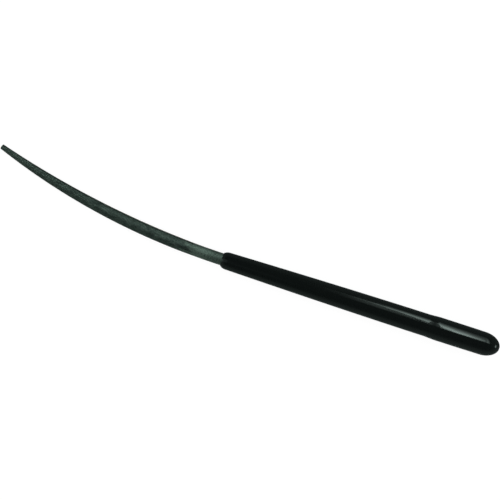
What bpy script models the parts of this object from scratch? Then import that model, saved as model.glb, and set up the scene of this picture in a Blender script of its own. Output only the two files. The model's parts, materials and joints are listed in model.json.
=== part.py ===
"""Riffler file: a round, tapered file blade bent along one arc, with a dip-moulded vinyl handle.

The tool is modelled about its handle's axis. The handle's mouth is at X = 0 and its butt at +X, and the blade leaves
the mouth along -X and bends towards +Y. An empty carries both pieces and lays them on the bench, the plane Z = 0.
"""

import math

import bmesh
import bpy
import numpy as np
from mathutils import Vector

MM = 0.001

# Blade, measured along its bend from the handle's mouth to the flat tip.
BLADE_LENGTH = 99.6 * MM
BLADE_DIAMETER = 5.10 * MM
TIP_DIAMETER = 2.10 * MM
TIP_CHAMFER = 0.10 * MM
TAPER_LENGTH = 76.0 * MM
BEND_RADIUS = 318.6 * MM
BEND_INSET = 2.0 * MM

# Cut: crossed rows of grooves leave pointed teeth, which lean towards the tip and end in slanted strips.
TEETH_AROUND = 14
TOOTH_HEIGHT = 0.20 * MM
TOOTH_LEAN_SHARE = 0.35
OVERCUT_ANGLE = math.radians(50.0)
UPCUT_ANGLE = math.radians(31.0)
CUT_STRIPS = 4
STRIP_START_ANGLE = math.radians(40.0)
CUT_FADE_LENGTH = 1.2 * MM

# Neck and shank: the uncut bar, which runs on inside the handle.
NECK_LENGTH = 11.5 * MM
NECK_DIAMETER = 4.95 * MM
NECK_RING_SPACING = 4.0 * MM
SHANK_CHAMFER = 0.50 * MM
SHANK_CLEARANCE = 0.30 * MM

# Handle, from its mouth to its butt.
HANDLE_LENGTH = 115.7 * MM
MOUTH_DIAMETER = 7.05 * MM
LIP_LENGTH = 2.8 * MM
WAIST_DIAMETER = 9.03 * MM
SWELL_LENGTH = 5.0 * MM
BULB_DIAMETER = 9.50 * MM
BULB_LENGTH = 24.8 * MM
BUTT_DIAMETER = 9.36 * MM
BUTT_LENGTH = 6.8 * MM
BUTT_FLAT_DIAMETER = 2.0 * MM
BUTT_WALL = 10.0 * MM

# Fullness of the tapers: at 1 they would be straight cones.
BLADE_FULLNESS = 2.0
GRIP_FULLNESS = 1.65
BULB_FULLNESS = 3.0

# Densities, in kilograms per cubic metre, which set how the tool balances on the bench.
STEEL_DENSITY = 7850.0
VINYL_DENSITY = 1300.0
STEEPEST_SLOPE = 0.3
BALANCE_DISCS = 400
BALANCE_ROUNDS = 60

# Facets.
TURN_STEPS = 40
LIP_STEPS = 6
GRIP_STEPS = 10
SWELL_STEPS = 6
BULB_STEPS = 5
BUTT_STEPS = 9
WELD_DISTANCE = 0.01 * MM
SHARP_ANGLE = math.radians(30.0)

# The steel bar counts its lengths from the flat tip, and the handle from its mouth.
CUT_LENGTH = BLADE_LENGTH - NECK_LENGTH
BORE_DEPTH = HANDLE_LENGTH - BUTT_WALL
BORE_DIAMETER = NECK_DIAMETER + 2 * SHANK_CLEARANCE
BAR_LENGTH = BLADE_LENGTH + BORE_DEPTH - SHANK_CLEARANCE
BULB_START = HANDLE_LENGTH - BULB_LENGTH
SWELL_START = BULB_START - SWELL_LENGTH
BUTT_START = HANDLE_LENGTH - BUTT_LENGTH
BUTT_CURVE_LENGTH = BUTT_LENGTH / math.sqrt(1.0 - (BUTT_FLAT_DIAMETER / BUTT_DIAMETER) ** 2)

# The crossed grooves make a lattice with one high and one low spoke for each tooth round the bar. The cut angles,
# counted from the bar's axis, give the spacing of its rings and how far each ring is turned on from the last.
SPOKES = 2 * TEETH_AROUND
SPOKE_ANGLE = math.tau / SPOKES
CUT_SLOPES = math.tan(OVERCUT_ANGLE) + math.tan(UPCUT_ANGLE)
RING_TURN_SHARE = (math.tan(OVERCUT_ANGLE) - math.tan(UPCUT_ANGLE)) / CUT_SLOPES
TOOTH_RINGS = round((CUT_LENGTH - TIP_CHAMFER) * CUT_SLOPES / (BLADE_DIAMETER * SPOKE_ANGLE))
RING_SPACING = (CUT_LENGTH - TIP_CHAMFER) / TOOTH_RINGS
STRIP_SLANT = math.pi * BLADE_DIAMETER / CUT_STRIPS / math.tan(UPCUT_ANGLE)


def between(low, high, share):
    return low + (high - low) * share


def clamped(share):
    return min(1.0, max(0.0, share))


def eased(share):
    """A smooth rise from 0 to 1 that starts and ends level."""
    return share * share * (3.0 - 2.0 * share)


def steps_between(low, high, count):
    """Evenly spaced values after low, up to and with high."""
    return [between(low, high, (step + 1) / count) for step in range(count)]


def make_material(name, colour, roughness, metallic):
    material = bpy.data.materials.new(name)
    material.use_nodes = True
    shader = material.node_tree.nodes["Principled BSDF"]
    shader.inputs["Base Color"].default_value = (*colour, 1.0)
    shader.inputs["Roughness"].default_value = roughness
    shader.inputs["Metallic"].default_value = metallic
    return material


def blade_radius(along):
    """The radius over the teeth, which is drawn in along a curve towards the tip."""
    to_go = 1.0 - clamped(along / TAPER_LENGTH)
    return between(BLADE_DIAMETER, TIP_DIAMETER, to_go**BLADE_FULLNESS) / 2


def plain_radius(along):
    """The radius of the bar without its teeth, with its chamfered tip and shank."""
    from_tip = TIP_DIAMETER / 2 - TIP_CHAMFER + along
    from_end = NECK_DIAMETER / 2 - SHANK_CHAMFER + BAR_LENGTH - along
    return min(blade_radius(along), NECK_DIAMETER / 2, from_tip, from_end)


def cut_share(along, angle):
    """How fully the teeth stand: not at all on the tip's edge and the neck, where the strips of cuts end aslant."""
    strip_share = (angle - STRIP_START_ANGLE) / math.tau * CUT_STRIPS % 1.0
    strip_end = CUT_LENGTH - STRIP_SLANT * (1.0 - strip_share)
    return clamped((along - TIP_CHAMFER) / RING_SPACING) * clamped((strip_end - along) / CUT_FADE_LENGTH)


def bar_centre(along):
    """The bar's centre at this distance from its tip, and the direction across it to the inside of the bend."""
    past_bend = BLADE_LENGTH + BEND_INSET - along
    turn = max(0.0, past_bend) / BEND_RADIUS
    x = BEND_INSET - min(0.0, past_bend) - BEND_RADIUS * math.sin(turn)
    y = BEND_RADIUS * (1.0 - math.cos(turn))
    return Vector((x, y, 0.0)), Vector((math.sin(turn), math.cos(turn), 0.0))


def bar_stations():
    """Where the bar's rings lie: the tip, two rings to a tooth, a few on the neck, and the shank's end."""
    bend_start = BLADE_LENGTH + BEND_INSET
    teeth = steps_between(TIP_CHAMFER, CUT_LENGTH, TOOTH_RINGS)
    neck = steps_between(CUT_LENGTH, bend_start, math.ceil((bend_start - CUT_LENGTH) / NECK_RING_SPACING))
    return [0.0, TIP_CHAMFER, *teeth, *neck, BAR_LENGTH - SHANK_CHAMFER, BAR_LENGTH]


def bar_point(along, ring, spoke):
    """A corner of the bar's surface: on the cut, the points of the teeth take turns with the grooves between them."""
    angle = (spoke + RING_TURN_SHARE * min(ring, TOOTH_RINGS)) * SPOKE_ANGLE
    cut = cut_share(along, angle)
    radius = between(plain_radius(along), blade_radius(along), cut)
    if is_groove(ring, spoke):
        radius -= TOOTH_HEIGHT * cut * blade_radius(along) * 2 / BLADE_DIAMETER
    else:
        along -= RING_SPACING * TOOTH_LEAN_SHARE * cut
    centre, across = bar_centre(along)
    return centre + radius * (math.cos(angle) * across + math.sin(angle) * Vector((0.0, 0.0, 1.0)))


def is_groove(ring, spoke):
    return (ring + spoke) % 2 == 1


def make_file_blank(collection):
    """One hardened steel bar. A unit rod is divided into rings, and its corners move to their places on the file."""
    stations = bar_stations()
    last_ring = len(stations) - 1
    bm = bmesh.new()
    bmesh.ops.create_cone(bm, cap_ends=True, segments=SPOKES, radius1=1.0, radius2=1.0, depth=1.0)
    long_edges = [edge for edge in bm.edges if edge.verts[0].co.z * edge.verts[1].co.z < 0.0]
    bmesh.ops.subdivide_edges(bm, edges=long_edges, cuts=last_ring - 1)
    grooves = []
    for vert in bm.verts:
        ring = round((vert.co.z + 0.5) * last_ring)
        spoke = round(math.atan2(vert.co.y, vert.co.x) / SPOKE_ANGLE)
        if is_groove(ring, spoke) and 0 < ring <= TOOTH_RINGS + 1:
            grooves.append(vert)
        vert.co = bar_point(stations[ring], ring, spoke)
    # Each four-sided face is split along its groove, so that every high point becomes a tooth with four flanks.
    bmesh.ops.connect_verts(bm, verts=grooves)
    bmesh.ops.recalc_face_normals(bm, faces=bm.faces)
    mesh = bpy.data.meshes.new("file_blank")
    bm.to_mesh(mesh)
    bm.free()
    mesh.shade_smooth()
    mesh.set_sharp_from_angle(angle=SHARP_ANGLE)
    mesh.materials.append(make_material("file_steel", (0.10, 0.12, 0.11), 0.42, 1.0))
    file_blank = bpy.data.objects.new("file_blank", mesh)
    collection.objects.link(file_blank)
    return file_blank


def grip_radius(along):
    """The handle's outer radius: a thin curved lip, a full taper, a soft swell up to the bulb, and the rounded butt."""
    if along < LIP_LENGTH:
        return between(BORE_DIAMETER, MOUTH_DIAMETER, 1.0 - (1.0 - along / LIP_LENGTH) ** 2) / 2
    if along < SWELL_START:
        to_go = (SWELL_START - along) / (SWELL_START - LIP_LENGTH)
        return between(WAIST_DIAMETER, MOUTH_DIAMETER, to_go**GRIP_FULLNESS) / 2
    if along < BULB_START:
        return between(WAIST_DIAMETER, BULB_DIAMETER, eased((along - SWELL_START) / SWELL_LENGTH)) / 2
    if along < BUTT_START:
        to_butt = (along - BULB_START) / (BUTT_START - BULB_START)
        return between(BULB_DIAMETER, BUTT_DIAMETER, to_butt**BULB_FULLNESS) / 2
    return BUTT_DIAMETER / 2 * math.sqrt(1.0 - ((along - BUTT_START) / BUTT_CURVE_LENGTH) ** 2)


def grip_stations():
    """Where the handle's outline has points, closer together where it turns in at the lip and the butt."""
    butt_turn = math.asin(BUTT_LENGTH / BUTT_CURVE_LENGTH)
    lip = steps_between(0.0, LIP_LENGTH, LIP_STEPS)
    butt = [BUTT_START + BUTT_CURVE_LENGTH * math.sin(turn) for turn in steps_between(0.0, butt_turn, BUTT_STEPS)]
    grip = steps_between(LIP_LENGTH, SWELL_START, GRIP_STEPS)
    swell = steps_between(SWELL_START, BULB_START, SWELL_STEPS)
    bulb = steps_between(BULB_START, BUTT_START, BULB_STEPS)
    return [0.0, *lip, *grip, *swell, *bulb, *butt]


def make_handle(collection):
    """The vinyl handle, turned about its own Z axis with the mouth on top: the blind bore, the lip and the outline."""
    bore = [(0.0, -BORE_DEPTH), (BORE_DIAMETER / 2, -BORE_DEPTH)]
    outline = [(grip_radius(along), -along) for along in grip_stations()]
    profile = [*bore, *outline, (0.0, -HANDLE_LENGTH)]
    mesh = bpy.data.meshes.new("handle")
    mesh.from_pydata([(x, 0.0, z) for x, z in profile], [(i, i + 1) for i in range(len(profile) - 1)], [])
    mesh.materials.append(make_material("black_vinyl", (0.006, 0.007, 0.007), 0.16, 0.0))
    handle = bpy.data.objects.new("handle", mesh)
    handle.rotation_euler = (0.0, -math.pi / 2, 0.0)
    turning = handle.modifiers.new("turning", "SCREW")
    turning.steps = TURN_STEPS
    turning.render_steps = TURN_STEPS
    turning.use_merge_vertices = True
    turning.merge_threshold = WELD_DISTANCE
    turning.use_smooth_shade = True
    collection.objects.link(handle)
    return handle


def tool_discs():
    """The tool sliced into thin discs, each with its centre in the plane of the bend, its radius and its mass."""
    discs = []
    thickness = BAR_LENGTH / BALANCE_DISCS
    for along in steps_between(-thickness / 2, BAR_LENGTH - thickness / 2, BALANCE_DISCS):
        centre, _ = bar_centre(along)
        radius = plain_radius(along)
        discs.append((centre.x, centre.y, radius, STEEL_DENSITY * radius**2 * thickness))
    thickness = HANDLE_LENGTH / BALANCE_DISCS
    for along in steps_between(-thickness / 2, HANDLE_LENGTH - thickness / 2, BALANCE_DISCS):
        radius = grip_radius(along)
        bore_radius = BORE_DIAMETER / 2 if along < BORE_DEPTH else 0.0
        discs.append((along, 0.0, radius, VINYL_DENSITY * (radius**2 - bore_radius**2) * thickness))
    return np.array(discs).T


def lowest_slope(height_at):
    """The slope at which a height with a single valley is least, found by thirds."""
    low = -STEEPEST_SLOPE
    high = STEEPEST_SLOPE
    for _ in range(BALANCE_ROUNDS):
        third = (high - low) / 3
        if height_at(low + third) < height_at(high - third):
            high -= third
        else:
            low += third
    return (low + high) / 2


def bench_slopes():
    """The pitch and roll at which the tool comes to rest, where its centre of mass lies lowest over the bench."""
    x, y, radius, mass = tool_discs()

    def balance_height(pitch, roll):
        rise = pitch * x - roll * y
        return np.average(rise, weights=mass) - np.min(rise - radius)

    def resting_roll(pitch):
        return lowest_slope(lambda roll: balance_height(pitch, roll))

    pitch = lowest_slope(lambda slope: balance_height(slope, resting_roll(slope)))
    return pitch, resting_roll(pitch)


def world_points(obj):
    evaluated = obj.evaluated_get(bpy.context.evaluated_depsgraph_get())
    mesh = evaluated.to_mesh()
    points = np.array([evaluated.matrix_world @ vert.co for vert in mesh.vertices])
    evaluated.to_mesh_clear()
    return points


def lay_on_bench(carrier, pieces):
    """Turn the tool to its resting pose and set the middle of its box over the origin, with its lowest point at 0."""
    pitch, roll = bench_slopes()
    carrier.rotation_euler = (-math.atan(roll), -math.atan(pitch), 0.0)
    bpy.context.view_layer.update()
    points = np.concatenate([world_points(piece) for piece in pieces])
    low = points.min(axis=0)
    middle = (low + points.max(axis=0)) / 2
    carrier.location = (-middle[0], -middle[1], -low[2])


def clear_scene():
    for obj in list(bpy.data.objects):
        bpy.data.objects.remove(obj, do_unlink=True)


def build():
    clear_scene()
    collection = bpy.data.collections.new("riffler_file")
    bpy.context.scene.collection.children.link(collection)
    carrier = bpy.data.objects.new("riffler_pose", None)
    carrier.empty_display_size = BLADE_DIAMETER
    collection.objects.link(carrier)
    pieces = [make_file_blank(collection), make_handle(collection)]
    for piece in pieces:
        piece.parent = carrier
    lay_on_bench(carrier, pieces)


build()
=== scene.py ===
"""Looks of the riffler file: a toothed, curved steel blade in a glossy black vinyl handle, on a white table.

Shapes are worked out about the handle's own axis: x runs from the handle's mouth to its butt, y to the side
that the blade bends to and z up from both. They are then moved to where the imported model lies.
"""
import json
import math

import bmesh
import bpy
from mathutils import Matrix, Vector, noise


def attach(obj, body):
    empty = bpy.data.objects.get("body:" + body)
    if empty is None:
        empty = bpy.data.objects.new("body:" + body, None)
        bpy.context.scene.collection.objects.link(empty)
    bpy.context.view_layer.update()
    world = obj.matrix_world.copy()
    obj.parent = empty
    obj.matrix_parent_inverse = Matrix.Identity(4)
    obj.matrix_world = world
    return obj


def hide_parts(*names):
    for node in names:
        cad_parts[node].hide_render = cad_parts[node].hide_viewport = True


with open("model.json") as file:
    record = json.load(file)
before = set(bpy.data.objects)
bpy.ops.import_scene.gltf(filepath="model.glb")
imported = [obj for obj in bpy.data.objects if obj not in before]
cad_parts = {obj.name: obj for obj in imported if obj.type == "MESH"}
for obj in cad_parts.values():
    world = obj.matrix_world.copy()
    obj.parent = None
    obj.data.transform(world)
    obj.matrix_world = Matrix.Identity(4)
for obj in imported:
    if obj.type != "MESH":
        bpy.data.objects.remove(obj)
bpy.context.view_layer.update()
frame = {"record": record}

# Steel file.
# One bar of tool steel, ground round and drawn in to a blunt tip, cut with two crossed sets of chisel
# grooves, bent along one arc and hardened, which leaves a dark grey-green scale. Its uncut end, past the
# short smooth neck, is the shank, bonded into the handle.
MM = 0.001
BLADE_LENGTH = 99.6 * MM
BLADE_DIAMETER = 5.10 * MM
TIP_DIAMETER = 2.10 * MM
TIP_CHAMFER = 0.10 * MM
TAPER_LENGTH = 76.0 * MM
BLADE_FULLNESS = 2.0
BEND_RADIUS = 318.6 * MM
BEND_INSET = 2.0 * MM
NECK_LENGTH = 11.5 * MM
NECK_DIAMETER = 4.95 * MM
NECK_RING_SPACING = 1.0 * MM
SHANK_LENGTH = 105.4 * MM
SHANK_CHAMFER = 0.50 * MM
HANDLE_LENGTH = 115.7 * MM

TEETH_AROUND = 28
TOOTH_HEIGHT = 0.09 * MM
OVERCUT_ANGLE = math.radians(50.0)
UPCUT_ANGLE = math.radians(31.0)
CUT_STRIPS = 4
STRIP_START_ANGLE = math.radians(40.0)
CUT_FADE_LENGTH = 0.8 * MM
# How deep each point of a tooth's cell lies, in tooth heights, and how far it leans to the tip, in rings.
POINT_DEPTH, POINT_LEAN = 0.0, 0.75
FRONT_DEPTH, FRONT_LEAN = 0.70, 0.15
SIDE_DEPTH, SIDE_LEAN = 0.32, 0.55
BACK_DEPTH, BACK_LEAN = 0.34, 0.0
OVERCUT_DEPTH, UPCUT_DEPTH, CROSSING_DEPTH = 0.78, 0.92, 1.0
TOOTH_UNEVENNESS = 0.30
POINT_WANDER = 0.25

CUT_LENGTH = BLADE_LENGTH - NECK_LENGTH
BAR_LENGTH = BLADE_LENGTH + SHANK_LENGTH
CELL = 4
SPOKES = CELL * TEETH_AROUND
SPOKE_ANGLE = math.tau / SPOKES
CUT_SLOPES = math.tan(OVERCUT_ANGLE) + math.tan(UPCUT_ANGLE)
RING_TURN_SHARE = (math.tan(OVERCUT_ANGLE) - math.tan(UPCUT_ANGLE)) / CUT_SLOPES
STRIP_SLANT = math.pi * BLADE_DIAMETER / CUT_STRIPS / math.tan(UPCUT_ANGLE)

mounts = {mount["name"]: mount for mount in frame["record"]["mounts"]}
handle_axis = Vector(mounts["butt_face"]["axis"]).normalized()
tip_direction = Vector(mounts["tip_face"]["axis"])
bend_side = (tip_direction - tip_direction.dot(handle_axis) * handle_axis).normalized()
tool_up = handle_axis.cross(bend_side)
mouth = Vector(mounts["butt_face"]["pos_m"]) - HANDLE_LENGTH * handle_axis
tool_place = Matrix.Translation(mouth) @ Matrix((handle_axis, bend_side, tool_up)).transposed().to_4x4()


def between(low, high, share):
    return low + (high - low) * share


def clamped(share):
    return min(1.0, max(0.0, share))


def blade_radius(along):
    """The radius over the teeth, which is drawn in along a curve towards the tip."""
    to_go = 1.0 - clamped(along / TAPER_LENGTH)
    return between(BLADE_DIAMETER, TIP_DIAMETER, to_go**BLADE_FULLNESS) / 2


def plain_radius(along):
    """The radius of the uncut bar, with its chamfered tip and shank."""
    from_tip = TIP_DIAMETER / 2 - TIP_CHAMFER + along
    from_end = NECK_DIAMETER / 2 - SHANK_CHAMFER + BAR_LENGTH - along
    return min(blade_radius(along), NECK_DIAMETER / 2, from_tip, from_end)


def ring_spacing(along):
    """The rings draw together with the bar, so that the grooves keep their angles up to the tip."""
    return 2 * blade_radius(along) * SPOKE_ANGLE / CUT_SLOPES


def bar_stations():
    """How far each ring lies from the tip, and how many of the rings are cut."""
    teeth = [TIP_CHAMFER]
    while teeth[-1] < CUT_LENGTH:
        teeth.append(teeth[-1] + ring_spacing(teeth[-1]))
    bend_start = BLADE_LENGTH + BEND_INSET
    neck_steps = math.ceil((bend_start - teeth[-1]) / NECK_RING_SPACING)
    neck = [between(teeth[-1], bend_start, (step + 1) / neck_steps) for step in range(neck_steps)]
    return [0.0, *teeth, *neck, BAR_LENGTH - SHANK_CHAMFER, BAR_LENGTH], len(teeth)


def cut_share(along, angle):
    """How fully the teeth stand: not on the tip's edge, nor on the neck, where their strips end aslant."""
    strip_share = (angle - STRIP_START_ANGLE) / math.tau * CUT_STRIPS % 1.0
    strip_end = CUT_LENGTH - STRIP_SLANT * (1.0 - strip_share)
    from_tip = (along - TIP_CHAMFER) / ring_spacing(along) / CELL
    return clamped(from_tip) * clamped((strip_end - along) / CUT_FADE_LENGTH)


def tooth_form(ring, spoke):
    """Depth and lean of a point of the cut surface. Overcut grooves run where ring and spoke add up to a
    multiple of CELL and upcut grooves where they differ by one. A tooth stands in the middle of a cell."""
    added, apart = (ring + spoke) % CELL, (ring - spoke) % CELL
    if added == 0 or apart == 0:
        depth = CROSSING_DEPTH if added == apart else OVERCUT_DEPTH if added == 0 else UPCUT_DEPTH
        return depth, 0.0
    unevenness = noise.cell(Vector(((ring + spoke) // CELL, (ring - spoke) // CELL, 0.0))) - 0.5
    if added == apart == CELL // 2:
        depth, lean = POINT_DEPTH, POINT_LEAN
    elif added != apart:
        depth, lean = SIDE_DEPTH, SIDE_LEAN
    elif added == 1:
        depth, lean = FRONT_DEPTH, FRONT_LEAN
    else:
        depth, lean = BACK_DEPTH, BACK_LEAN
    worn = TOOTH_UNEVENNESS * abs(unevenness) * (1.0 - depth)
    return depth + worn, lean + POINT_WANDER * unevenness


def bar_centre(along):
    """The bar's centre at this distance from its tip, and the direction to the inside of its bend."""
    past_bend = BLADE_LENGTH + BEND_INSET - along
    turn = max(0.0, past_bend) / BEND_RADIUS
    x = BEND_INSET - min(0.0, past_bend) - BEND_RADIUS * math.sin(turn)
    y = BEND_RADIUS * (1.0 - math.cos(turn))
    return Vector((x, y, 0.0)), Vector((math.sin(turn), math.cos(turn), 0.0))


# Each piece gets a map of this name: its surface unrolled.
BAKE_MAP = "OFBake"


def unroll(bm, place_of):
    """Lay each face on the map by its points' places: the share of the length across, and of the turn up."""
    flat = bm.loops.layers.uv.new(BAKE_MAP)
    for face in bm.faces:
        places = [place_of(loop.vert) for loop in face.loops]
        turns = [turn for _, turn in places if turn is not None]
        # A face across the seam keeps its corners together, and a pole takes the middle of its face.
        turns = [turn + 1.0 if max(turns) - turn > 0.5 else turn for turn in turns]
        pole_turn = sum(turns) / len(turns)
        turns = iter(turns)
        for loop, (share, turn) in zip(face.loops, places):
            loop[flat].uv = (share, pole_turn if turn is None else next(turns))


def finish_piece(name, bm, material, node, sharp_angle):
    """Make the piece of this mesh, laid where the tool lies, in place of its node."""
    bmesh.ops.transform(bm, matrix=tool_place, verts=bm.verts)
    bmesh.ops.recalc_face_normals(bm, faces=bm.faces)
    mesh = bpy.data.meshes.new(name)
    bm.to_mesh(mesh)
    bm.free()
    mesh.shade_smooth()
    mesh.set_sharp_from_angle(angle=sharp_angle)
    mesh.materials.append(material)
    piece = bpy.data.objects.new(name, mesh)
    bpy.context.scene.collection.objects.link(piece)
    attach(piece, "root")
    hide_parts(node)


class Wire:
    """A value in a shader tree. Arithmetic on it adds Math nodes, and node() adds a node of another kind."""

    def __init__(self, tree, socket=None):
        self.tree = tree
        self.socket = socket

    def node(self, kind, settings=None, sockets=None, output=0):
        """One output of a new node, which is given its settings first and then the values of its sockets."""
        made = self.tree.nodes.new("ShaderNode" + kind)
        for name, value in (settings or {}).items():
            setattr(made, name, value)
        for name, value in (sockets or {}).items():
            if isinstance(value, Wire):
                self.tree.links.new(value.socket, made.inputs[name])
            else:
                made.inputs[name].default_value = value
        return Wire(self.tree, made.outputs[output] if made.outputs else None)

    def math(self, operation, first, second):
        return self.node("Math", {"operation": operation}, {0: first, 1: second})

    def __add__(self, other):
        return self.math("ADD", self, other)

    def __sub__(self, other):
        return self.math("SUBTRACT", self, other)

    def __rsub__(self, other):
        return self.math("SUBTRACT", other, self)

    def __mul__(self, other):
        return self.math("MULTIPLY", self, other)

    def __pow__(self, other):
        return self.math("POWER", self, other)

    def __lt__(self, other):
        return self.math("LESS_THAN", self, other)

    __radd__ = __add__
    __rmul__ = __mul__

    def part(self, letter):
        """The X, Y or Z part of this vector."""
        return self.node("SeparateXYZ", None, {"Vector": self}, letter)

    def over(self, length, width):
        """This place counted in lengths along X and in widths along Y and Z, for a drawn-out pattern."""
        scales = (1 / length, 1 / width, 1 / width)
        return self.node("VectorMath", {"operation": "MULTIPLY"}, {0: self, 1: scales})

    def rise(self, low, high):
        """A smooth rise from 0 to 1 as this value goes from low to high, which may be the smaller."""
        places = {"Value": self, "From Min": low, "From Max": high}
        return self.node("MapRange", {"interpolation_type": "SMOOTHSTEP"}, places)

    def noise(self, scale=1.0, detail=1.0, roughness=0.5):
        """Noise over this vector, mostly between 0.3 and 0.7."""
        sockets = {"Vector": self, "Scale": scale, "Detail": detail, "Roughness": roughness}
        return self.node("TexNoise", None, sockets)

    def mixed(self, low, high):
        """A colour between two, by this share. A Mix node takes colours at its sockets 6 and 7."""
        return self.node("Mix", {"data_type": "RGBA"}, {0: self, 6: low, 7: high}, 2)


def emptied(owner):
    """The cleared shader tree of a material, a world or a lamp."""
    owner.use_nodes = True
    owner.node_tree.nodes.clear()
    return Wire(owner.node_tree)


def finish_material(wires, sockets):
    shader = wires.node("BsdfPrincipled", None, sockets)
    wires.node("OutputMaterial", None, {"Surface": shader})


GROOVE_COLOUR = (0.112, 0.140, 0.131, 1.0)
STEEL_COLOUR = (0.55, 0.65, 0.58, 1.0)
NO_COLOUR = (0.0, 0.0, 0.0, 1.0)
# Painted sheen and how much of the steel shows bare through the scale, and where these change, from the tip.
# The sheen brightens the tip and the middle of the neck, and fades out again before the handle's mouth.
BLADE_POLISH, TIP_SHEEN = 0.74, 0.24
TIP_SHEEN_END = 45.0 * MM
SCALED_NECK_POLISH, NECK_SHEEN = 0.52, 0.38
NECK_SHEEN_START, NECK_SHEEN_FULL = 84.5 * MM, 90.5 * MM
NECK_SHEEN_FADE_START, NECK_SHEEN_FADE_FULL = 90.0 * MM, 97.0 * MM
NECK_POLISH_START, NECK_POLISH_FULL = 80.0 * MM, 84.5 * MM
BLADE_MOTTLE, NECK_MOTTLE, GRAIN_MOTTLE = 3.2, 0.9, 1.8
CLOUD_LENGTH, CLOUD_WIDTH = 3.6 * MM, 1.8 * MM
GRAIN_SIZE = 0.50 * MM
GRINDING_PITCH, GRINDING_LENGTH = 0.12 * MM, 2.5 * MM
GRINDING_HEIGHT = 0.004 * MM
PIT_SPACING = 3.2 * MM
PIT_SIZE_SHARE, PIT_DARKNESS = 0.12, 0.8
GROOVE_ROUGHNESS, RUBBED_ROUGHENING, GRAIN_ROUGHENING = 0.42, 0.18, 0.25


def file_steel():
    """Dark scaled steel: painted sheen on the tip and neck, brighter tooth points and darkest grooves."""
    material = bpy.data.materials.new("file_steel")
    wires = emptied(material)
    straight = wires.node("Attribute", {"attribute_name": "straight"}, None, "Vector")
    rubbed = wires.node("Attribute", {"attribute_name": "rubbed"}, None, "Fac")
    clouds = straight.over(CLOUD_LENGTH, CLOUD_WIDTH).noise(detail=5.0, roughness=0.78)
    grain = straight.noise(1 / GRAIN_SIZE, detail=2.0, roughness=0.6)
    grinding = straight.over(GRINDING_PITCH, GRINDING_LENGTH).noise(detail=3.0, roughness=0.6)
    pit = wires.node("TexVoronoi", None, {"Vector": straight, "Scale": 1 / PIT_SPACING}) < PIT_SIZE_SHARE
    along = straight.part("X")
    # Painted sheen: brighter towards the tip and over the middle of the neck, fading out before the handle's
    # mouth.
    blade_polish_and_sheen = BLADE_POLISH + TIP_SHEEN * along.rise(TIP_SHEEN_END, 0.0)
    neck_sheen = along.rise(NECK_SHEEN_FADE_FULL, NECK_SHEEN_FADE_START) * along.rise(NECK_SHEEN_START, NECK_SHEEN_FULL)
    neck_polish_and_sheen = SCALED_NECK_POLISH + NECK_SHEEN * neck_sheen
    polish_and_sheen = between(blade_polish_and_sheen, neck_polish_and_sheen, along.rise(NECK_POLISH_START, NECK_POLISH_FULL))
    mottle = between(BLADE_MOTTLE, NECK_MOTTLE, along.rise(CUT_LENGTH - STRIP_SLANT, CUT_LENGTH))
    # The colour's share of bare steel carries the painted sheen as well as the mottling, wear and pits.
    uneven = polish_and_sheen + mottle * (clouds - 0.5) + GRAIN_MOTTLE * (grain - 0.5)
    bare_and_sheen = rubbed * uneven * (1 - PIT_DARKNESS * pit)
    bump = wires.node("Bump", None, {"Height": grinding, "Distance": GRINDING_HEIGHT, "Strength": 1.0})
    finish_material(wires, {
        "Base Color": bare_and_sheen.mixed(GROOVE_COLOUR, STEEL_COLOUR),
        "Metallic": 1.0,
        "Specular Tint": NO_COLOUR,
        "Roughness": GROOVE_ROUGHNESS + RUBBED_ROUGHENING * rubbed + GRAIN_ROUGHENING * (grain - 0.5),
        "Normal": bump,
    })
    return material


STEEL_SHARP_ANGLE = math.radians(30.0)
# The file's map: the tip's face, then the part that shows, then the hidden shank.
MAP_TIP_SHARE, MAP_SHOWN_SHARE, MAP_HIDDEN_SHARE = 0.01, 0.92, 0.06


def is_end_centre(vert):
    """Whether this point of the unit rod is the middle of one of its ends."""
    return math.hypot(vert.co.x, vert.co.y) < 0.5


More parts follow.
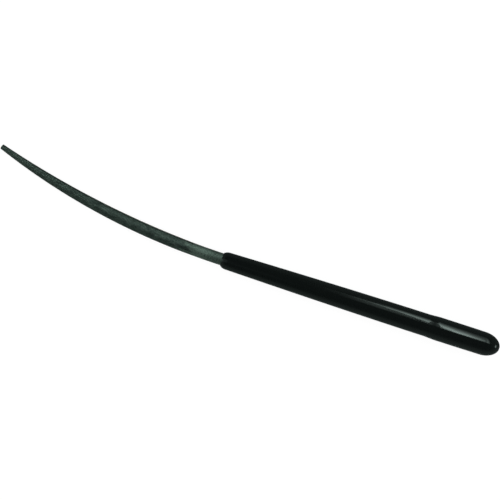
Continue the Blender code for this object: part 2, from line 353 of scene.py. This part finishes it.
def make_file():
    """A unit rod is divided into rings, and its points move to their places on the toothed surface."""
    stations, tooth_rings = bar_stations()
    last_ring = len(stations) - 1
    bm = bmesh.new()
    bmesh.ops.create_cone(bm, cap_ends=True, segments=SPOKES, radius1=1.0, radius2=1.0, depth=1.0)
    long_edges = [edge for edge in bm.edges if edge.verts[0].co.z * edge.verts[1].co.z < 0.0]
    bmesh.ops.subdivide_edges(bm, edges=long_edges, cuts=last_ring - 1)
    ring_of = bm.verts.layers.int.new("ring")
    spoke_of = bm.verts.layers.int.new("spoke")
    on_grooves = []
    for vert in bm.verts:
        vert[ring_of] = round((vert.co.z + 0.5) * last_ring)
        vert[spoke_of] = round(math.atan2(vert.co.y, vert.co.x) / SPOKE_ANGLE) % SPOKES
        if (vert[ring_of] + vert[spoke_of]) % 2 == 0 and 0 < vert[ring_of] <= tooth_rings:
            on_grooves.append(vert)
    # Each face of the cut is divided along the groove that crosses it.
    bmesh.ops.connect_verts(bm, verts=on_grooves)
    bmesh.ops.poke(bm, faces=[face for face in bm.faces if len(face.verts) == SPOKES])

    def place_of(vert):
        if is_end_centre(vert):
            return (0.0 if vert.co.z < 0.0 else 1.0), None
        along = stations[vert[ring_of]]
        shown = clamped(along / BLADE_LENGTH)
        hidden = clamped((along - BLADE_LENGTH) / SHANK_LENGTH)
        return MAP_TIP_SHARE + MAP_SHOWN_SHARE * shown + MAP_HIDDEN_SHARE * hidden, vert[spoke_of] / SPOKES

    unroll(bm, place_of)
    straight = bm.verts.layers.float_vector.new("straight")
    rubbed = bm.verts.layers.float.new("rubbed")
    for vert in bm.verts:
        ring, spoke = vert[ring_of], vert[spoke_of]
        if is_end_centre(vert):
            along = 0.0 if vert.co.z < 0.0 else BAR_LENGTH
            vert.co, _ = bar_centre(along)
            vert[straight] = (along, 0.0, 0.0)
            vert[rubbed] = 1.0
            continue
        along = stations[ring]
        angle = (spoke + RING_TURN_SHARE * min(ring, tooth_rings)) * SPOKE_ANGLE
        cut = cut_share(along, angle)
        depth, lean = tooth_form(ring, spoke)
        size = blade_radius(along) * 2 / BLADE_DIAMETER
        radius = between(plain_radius(along), blade_radius(along) - depth * TOOTH_HEIGHT * size, cut)
        along -= lean * ring_spacing(along) * cut
        centre, across = bar_centre(along)
        vert.co = centre + radius * (math.cos(angle) * across + math.sin(angle) * Vector((0.0, 0.0, 1.0)))
        vert[straight] = (along, radius * math.cos(angle), radius * math.sin(angle))
        vert[rubbed] = 1.0 - cut * depth
    finish_piece("steel_file", bm, file_steel(), "file_blank", STEEL_SHARP_ANGLE)


make_file()

# Vinyl handle.
# Black vinyl, dip moulded over the shank: a thin rounded lip, a slow taper, a soft swell up to the bulb and
# a rounded butt with the small flat where its drip was trimmed. It shines like wet paint, with a faint
# waviness and, behind the mouth, faint lengthwise ridges.
MOUTH_DIAMETER = 7.05 * MM
LIP_LENGTH = 2.8 * MM
LIP_EDGE_DIAMETER = 5.30 * MM
LIP_ROLL = 0.14 * MM
LIP_FULLNESS = 2.7
WAIST_DIAMETER = 9.03 * MM
SWELL_LENGTH = 5.0 * MM
BULB_DIAMETER = 9.50 * MM
BULB_LENGTH = 25.3 * MM
BUTT_DIAMETER = 9.36 * MM
BUTT_LENGTH = 6.8 * MM
BUTT_FLAT_DIAMETER = 2.0 * MM
GRIP_FULLNESS = 1.65
BULB_FULLNESS = 3.0
BORE_DEPTH = 105.7 * MM
BORE_CLEARANCE = 0.04 * MM
TURN_STEPS = 96
ROLL_STEPS, LIP_STEPS, GRIP_STEPS, SWELL_STEPS, BULB_STEPS, BUTT_STEPS = 6, 14, 40, 24, 14, 28
SAME_POINT = 0.001 * MM

BORE_DIAMETER = NECK_DIAMETER + BORE_CLEARANCE
BULB_START = HANDLE_LENGTH - BULB_LENGTH
SWELL_START = BULB_START - SWELL_LENGTH
BUTT_START = HANDLE_LENGTH - BUTT_LENGTH
BUTT_CURVE_LENGTH = BUTT_LENGTH / math.sqrt(1.0 - (BUTT_FLAT_DIAMETER / BUTT_DIAMETER) ** 2)


def eased(share):
    """A smooth rise from 0 to 1 that starts and ends level."""
    return share * share * (3.0 - 2.0 * share)


def grip_radius(along):
    """The handle's outer radius at this distance behind its mouth."""
    if along < LIP_LENGTH:
        to_go = 1.0 - along / LIP_LENGTH
        return between(LIP_EDGE_DIAMETER, MOUTH_DIAMETER, 1.0 - to_go**LIP_FULLNESS) / 2
    if along < SWELL_START:
        to_go = (SWELL_START - along) / (SWELL_START - LIP_LENGTH)
        return between(WAIST_DIAMETER, MOUTH_DIAMETER, to_go**GRIP_FULLNESS) / 2
    if along < BULB_START:
        return between(WAIST_DIAMETER, BULB_DIAMETER, eased((along - SWELL_START) / SWELL_LENGTH)) / 2
    if along < BUTT_START:
        to_butt = (along - BULB_START) / (BUTT_START - BULB_START)
        return between(BULB_DIAMETER, BUTT_DIAMETER, to_butt**BULB_FULLNESS) / 2
    return BUTT_DIAMETER / 2 * math.sqrt(1.0 - ((along - BUTT_START) / BUTT_CURVE_LENGTH) ** 2)


def steps_between(low, high, count):
    """Evenly spaced values after low, up to and with high."""
    return [between(low, high, (step + 1) / count) for step in range(count)]


def handle_profile():
    """Half the handle's section, as (along, radius) points: bore, rolled edge, lip, grip, bulb and butt."""
    bore = [(BORE_DEPTH, 0.0), (BORE_DEPTH, BORE_DIAMETER / 2), (LIP_LENGTH, BORE_DIAMETER / 2)]
    roll = []
    for turn in steps_between(0.0, math.pi / 2, ROLL_STEPS):
        diameter = between(BORE_DIAMETER, LIP_EDGE_DIAMETER, 1.0 - math.cos(turn))
        roll.append((LIP_ROLL * (1.0 - math.sin(turn)), diameter / 2))
    lip = steps_between(0.0, LIP_LENGTH, LIP_STEPS)
    grip = steps_between(LIP_LENGTH, SWELL_START, GRIP_STEPS)
    swell = steps_between(SWELL_START, BULB_START, SWELL_STEPS)
    bulb = steps_between(BULB_START, BUTT_START, BULB_STEPS)
    butt_turns = steps_between(0.0, math.asin(BUTT_LENGTH / BUTT_CURVE_LENGTH), BUTT_STEPS)
    butt = [BUTT_START + BUTT_CURVE_LENGTH * math.sin(turn) for turn in butt_turns]
    outline = [(along, grip_radius(along)) for along in [*lip, *grip, *swell, *bulb, *butt]]
    return [*bore, *roll, *outline, (HANDLE_LENGTH, 0.0)]


DEEP_BLACK = (0.0024, 0.0035, 0.0033, 1.0)
DULL_BLACK = (0.0035, 0.0049, 0.0046, 1.0)
WAVE_SIZE = 7.0 * MM
WAVE_HEIGHT = 0.03 * MM
RIDGE_LENGTH, RIDGE_WIDTH = 9.0 * MM, 0.8 * MM
RIDGED_LENGTH = 12.0 * MM
RIDGE_STRENGTH = 5.0
SCUFF_SIZE = 1.6 * MM
VINYL_ROUGHNESS, SCUFF_ROUGHENING = 0.07, 0.06


def black_vinyl():
    """Glossy black plastic: barely uneven to the touch, a little duller where hands and benches rub it."""
    material = bpy.data.materials.new("black_vinyl")
    wires = emptied(material)
    place = wires.node("TexCoord", None, None, "Object")
    waves = place.noise(1 / WAVE_SIZE)
    ridges = place.over(RIDGE_LENGTH, RIDGE_WIDTH).noise()
    scuffs = place.noise(1 / SCUFF_SIZE, detail=4.0, roughness=0.7)
    behind_mouth = place.part("X") - mouth.x
    relief = waves + RIDGE_STRENGTH * ridges * behind_mouth.rise(RIDGED_LENGTH, 0.0)
    bump = wires.node("Bump", None, {"Height": relief, "Distance": WAVE_HEIGHT, "Strength": 1.0})
    finish_material(wires, {
        "Base Color": scuffs.mixed(DEEP_BLACK, DULL_BLACK),
        "Metallic": 0.0,
        "Roughness": VINYL_ROUGHNESS + SCUFF_ROUGHENING * scuffs,
        "Normal": bump,
    })
    return material


VINYL_SHARP_ANGLE = math.radians(40.0)
# The handle's map: the bore and the start of the lip's roll on a narrow strip, then the outside.
MAP_BORE_SHARE, MAP_OUTSIDE_START_SHARE = 0.05, 0.06
MAP_BORE_EDGE = 0.01 * MM


def make_handle():
    """The grip, its profile spun about the handle's axis."""
    bm = bmesh.new()
    corners = [bm.verts.new((along, radius, 0.0)) for along, radius in handle_profile()]
    edges = [bm.edges.new(ends) for ends in zip(corners, corners[1:])]
    bmesh.ops.spin(
        bm,
        geom=[*corners, *edges],
        cent=(0.0, 0.0, 0.0),
        axis=(1.0, 0.0, 0.0),
        dvec=(0.0, 0.0, 0.0),
        angle=math.tau,
        steps=TURN_STEPS,
        use_merge=True,
    )
    bmesh.ops.remove_doubles(bm, verts=bm.verts, dist=SAME_POINT)

    def place_of(vert):
        radius = math.hypot(vert.co.y, vert.co.z)
        turn = None if radius < SAME_POINT else math.atan2(vert.co.z, vert.co.y) / math.tau % 1.0
        if radius < BORE_DIAMETER / 2 + MAP_BORE_EDGE and vert.co.x < BUTT_START:
            return MAP_BORE_SHARE * (1.0 - vert.co.x / BORE_DEPTH), turn
        return between(MAP_OUTSIDE_START_SHARE, 1.0, vert.co.x / HANDLE_LENGTH), turn

    unroll(bm, place_of)
    finish_piece("vinyl_handle", bm, black_vinyl(), "handle", VINYL_SHARP_ANGLE)


make_handle()

# White table.
# A broad sheet of matt white laminate. Mirror-like reflections don't show it, as on a light table with the
# tool held just clear of the lit sheet, so the sides of the handle stay dark.
TABLE_SIZE = 20.0
TABLE_COLOUR = (0.12, 0.12, 0.12, 1.0)
TABLE_ROUGHNESS = 0.9
TABLE_GLOW = 0.91
WHITE = (1.0, 1.0, 1.0, 1.0)


def make_table():
    bm = bmesh.new()
    bmesh.ops.create_grid(bm, x_segments=1, y_segments=1, size=TABLE_SIZE / 2)
    mesh = bpy.data.meshes.new("table")
    bm.to_mesh(mesh)
    bm.free()
    material = bpy.data.materials.new("white_table")
    finish_material(emptied(material), {
        "Base Color": TABLE_COLOUR,
        "Roughness": TABLE_ROUGHNESS,
        "Specular IOR Level": 0.0,
        "Emission Color": WHITE,
        "Emission Strength": TABLE_GLOW,
    })
    mesh.materials.append(material)
    table = bpy.data.objects.new("table", mesh)
    bpy.context.scene.collection.objects.link(table)
    table.visible_glossy = False


make_table()

# Camera.
# It looks straight down on the tool, turned as in the photograph, with the handle falling away to the right.
LENS = 100.0
SENSOR = 36.0
NEAREST_SEEN = 0.01
PICTURE_WIDTH = 199.6 * MM
PICTURE_MIDDLE = Vector((9.46, 6.98, 0.0)) * MM
PICTURE_TURN = math.radians(17.833)

camera = bpy.data.objects.new("camera", bpy.data.cameras.new("camera"))
camera.data.lens = LENS
camera.data.sensor_width = SENSOR
camera.data.clip_start = NEAREST_SEEN
bpy.context.scene.collection.objects.link(camera)
bpy.context.scene.camera = camera
camera.matrix_world = (
    Matrix.Translation(tool_place @ PICTURE_MIDDLE)
    @ Matrix.Rotation(PICTURE_TURN, 4, "Z")
    @ Matrix.Translation((0.0, 0.0, PICTURE_WIDTH * LENS / SENSOR))
)

# Studio room.
# The tool is lit evenly from all round. Mirror-like surfaces see a dim room instead: a dark ceiling, walls
# that are brighter on the near side, faint windows left and right, a long dim lamp at the left and a small
# lamp past the butt.
STUDIO_TINT = (0.80, 1.0, 0.93, 1.0)
CEILING_GLOW, FAR_WALL_GLOW, NEAR_WALL_GLOW = 0.024, 0.09, 0.16
LEFT_WINDOW_GLOW, RIGHT_WINDOW_GLOW = 0.088, 0.044
LEFT_LAMP_GLOW, LEFT_LAMP_END_GLOW = 0.40, 0.45
RIGHT_LAMP_GLOW = 3.8
# Each pair gives where a glow starts and where it is full, by how far a direction points to the right, to
# the far side or up.
WALL_FARWARD = (-0.5, 0.5)
CEILING_HEIGHT = (0.0, 0.7)
LEFT_WINDOW_RIGHTWARD, RIGHT_WINDOW_RIGHTWARD = (-0.50, -0.74), (0.50, 0.74)
RIGHT_WINDOW_FARWARD = (-0.30, 0.10)
WINDOW_BOTTOM_HEIGHT, WINDOW_TOP_HEIGHT = (0.15, 0.40), (0.85, 0.55)
LEFT_LAMP_RIGHTWARD, LEFT_LAMP_END_RIGHTWARD = (0.02, -0.35), (-0.85, -0.95)
LEFT_LAMP_NEAR_FARWARD, LEFT_LAMP_FAR_FARWARD = (-0.42, -0.18), (0.06, -0.15)
RIGHT_LAMP_RIGHTWARD, RIGHT_LAMP_FARWARD = (0.91, 0.95), (-0.08, 0.04)
RIGHT_LAMP_BOTTOM_HEIGHT, RIGHT_LAMP_TOP_HEIGHT = (0.14, 0.22), (0.40, 0.32)

scene = bpy.context.scene
scene.view_settings.view_transform = "Standard"
world = bpy.data.worlds.new("studio")
scene.world = world
# Its glow differs for reflections, so it isn't sampled as a lamp.
world.cycles.sampling_method = "NONE"
wires = emptied(world)
mirrored = wires.node("LightPath", None, None, "Is Glossy Ray")
direction = wires.node("TexCoord", None, None, "Generated")
rightward, farward, height = direction.part("X"), direction.part("Y"), direction.part("Z")

wall = between(NEAR_WALL_GLOW, FAR_WALL_GLOW, farward.rise(*WALL_FARWARD))
room = between(wall, CEILING_GLOW, height.rise(*CEILING_HEIGHT))
left_window = LEFT_WINDOW_GLOW * rightward.rise(*LEFT_WINDOW_RIGHTWARD)
right_window = RIGHT_WINDOW_GLOW * rightward.rise(*RIGHT_WINDOW_RIGHTWARD)
windows = left_window + right_window * farward.rise(*RIGHT_WINDOW_FARWARD)
windows = windows * height.rise(*WINDOW_BOTTOM_HEIGHT) * height.rise(*WINDOW_TOP_HEIGHT)
left_lamp = LEFT_LAMP_GLOW * rightward.rise(*LEFT_LAMP_RIGHTWARD)
left_lamp = left_lamp + LEFT_LAMP_END_GLOW * rightward.rise(*LEFT_LAMP_END_RIGHTWARD)
left_lamp = left_lamp * farward.rise(*LEFT_LAMP_NEAR_FARWARD) * farward.rise(*LEFT_LAMP_FAR_FARWARD)
right_lamp = RIGHT_LAMP_GLOW * rightward.rise(*RIGHT_LAMP_RIGHTWARD) * farward.rise(*RIGHT_LAMP_FARWARD)
right_lamp = right_lamp * height.rise(*RIGHT_LAMP_BOTTOM_HEIGHT) * height.rise(*RIGHT_LAMP_TOP_HEIGHT)
room = room + windows + left_lamp + right_lamp
glow = wires.node("Background", None, {
    "Color": mirrored.mixed(WHITE, STUDIO_TINT),
    "Strength": between(1.0, room, mirrored),
})
wires.node("OutputWorld", None, {"Surface": glow})

# Soft panel.
# A broad lamp behind cloth hangs over the far side of the handle, brightest at its near left corner. It
# draws the streak along the handle, with its dip at the swell, and the sheen of the blade.
PANEL_HEIGHT = 0.60
PANEL_LEFT, PANEL_RIGHT = 0.05, 0.865
PANEL_NEAR, PANEL_FAR = 0.11, 1.40
PANEL_RADIANCE = 11.6
# Places on the panel are shares of its width from the left or, where the name says so, of its depth from the
# near side. A pair gives where a glow starts and where it is full.
LEFT_NEAR_START_SHARE, LEFT_NEAR_BEND = 0.155, 0.5
LEFT_FAR_START_SHARE, LEFT_FAR_SLANT, LEFT_FAR_MOST_SHARE = 0.09, 0.34, 0.13
LEFT_FULL_NEAR_SHARE, LEFT_FULL_FAR_SHARE = 0.178, 0.162
LEFT_FULL_DEPTH_SHARE = 0.22
DIM_START_SHARE, DIM_FULL_SHARE, DIM_SLANT = 0.185, 0.25, 0.12
DIM_GLOW, REGAINED_GLOW = 0.13, 1.15
REGAIN_SHARES, REGAIN_DEPTH_SHARES = (0.24, 0.36), (0.9, -0.1)
RIGHT_EDGE_SHARES = (0.64, 0.44)
NEAR_SOFT_LEFT, NEAR_SOFT_RIGHT, NEAR_CRISPER = 0.06, 0.12, 0.065
NEAR_SOFTER_SHARES, NEAR_CRISPER_SHARES = (0.170, 0.195), (0.215, 0.25)
FAR_GLOW = 0.25
FAR_DEPTH_SHARES = (0.1, 1.1)
CORNER_BRIGHTNESS, CORNER_SLANT = 1.1786, 0.19
BROAD_GLOW, CORNER_GLOW, CORNER_CONTRAST = 0.17, 0.83, 26.0
SPILL_GLOW = 0.05
SPILL_LEFT_SHARES, SPILL_RIGHT_SHARES = (0.02, 0.08), (0.14, 0.09)
SPILL_NEAR_DEPTH_SHARES, SPILL_FAR_DEPTH_SHARES = (0.0, 0.10), (0.60, 0.30)

panel = bpy.data.objects.new("panel", bpy.data.lights.new("panel", "AREA"))
panel.data.shape = "RECTANGLE"
panel.data.size = PANEL_RIGHT - PANEL_LEFT
panel.data.size_y = PANEL_FAR - PANEL_NEAR
panel.data.energy = math.pi * panel.data.size * panel.data.size_y * PANEL_RADIANCE
panel_middle = ((PANEL_LEFT + PANEL_RIGHT) / 2, (PANEL_NEAR + PANEL_FAR) / 2, PANEL_HEIGHT)
panel.matrix_world = tool_place @ Matrix.Translation(panel_middle)
panel.visible_camera = False
scene.collection.objects.link(panel)

wires = emptied(panel.data)
on_panel = wires.node("NewGeometry", None, None, "Parametric")
right, far = on_panel.part("X"), on_panel.part("Y")

left_near_start = LEFT_NEAR_START_SHARE - LEFT_NEAR_BEND * far * far
left_far_start = wires.math("MINIMUM", LEFT_FAR_SLANT * far - LEFT_FAR_START_SHARE, LEFT_FAR_MOST_SHARE)
left_start = wires.math("MAXIMUM", left_near_start, left_far_start)
left_full = wires.node("MapRange", None, {
    "Value": far,
    "From Min": 0.0,
    "From Max": LEFT_FULL_DEPTH_SHARE,
    "To Min": LEFT_FULL_NEAR_SHARE,
    "To Max": LEFT_FULL_FAR_SHARE,
})
left_edge = right.rise(left_start, left_full)
dimmed = between(1.0, DIM_GLOW, right.rise(DIM_START_SHARE, DIM_FULL_SHARE + DIM_SLANT * far))
regained = REGAINED_GLOW * right.rise(*REGAIN_SHARES) * far.rise(*REGAIN_DEPTH_SHARES)
right_edge = (dimmed + regained) * right.rise(*RIGHT_EDGE_SHARES)
near_softness = between(NEAR_SOFT_LEFT, NEAR_SOFT_RIGHT, right.rise(*NEAR_SOFTER_SHARES))
near_softness = near_softness - NEAR_CRISPER * right.rise(*NEAR_CRISPER_SHARES)
near_edge = far.rise(0.0, near_softness)
far_edge = between(1.0, FAR_GLOW, far.rise(*FAR_DEPTH_SHARES))
to_corner = CORNER_BRIGHTNESS - CORNER_SLANT * far - right
brightness = BROAD_GLOW * to_corner + CORNER_GLOW * to_corner**CORNER_CONTRAST
spill = SPILL_GLOW * right.rise(*SPILL_LEFT_SHARES) * right.rise(*SPILL_RIGHT_SHARES)
spill = spill * far.rise(*SPILL_NEAR_DEPTH_SHARES) * far.rise(*SPILL_FAR_DEPTH_SHARES)
fall = left_edge * right_edge * near_edge * far_edge * brightness + spill
glow = wires.node("Emission", None, {"Color": STUDIO_TINT, "Strength": fall})
wires.node("OutputLight", None, {"Surface": glow})
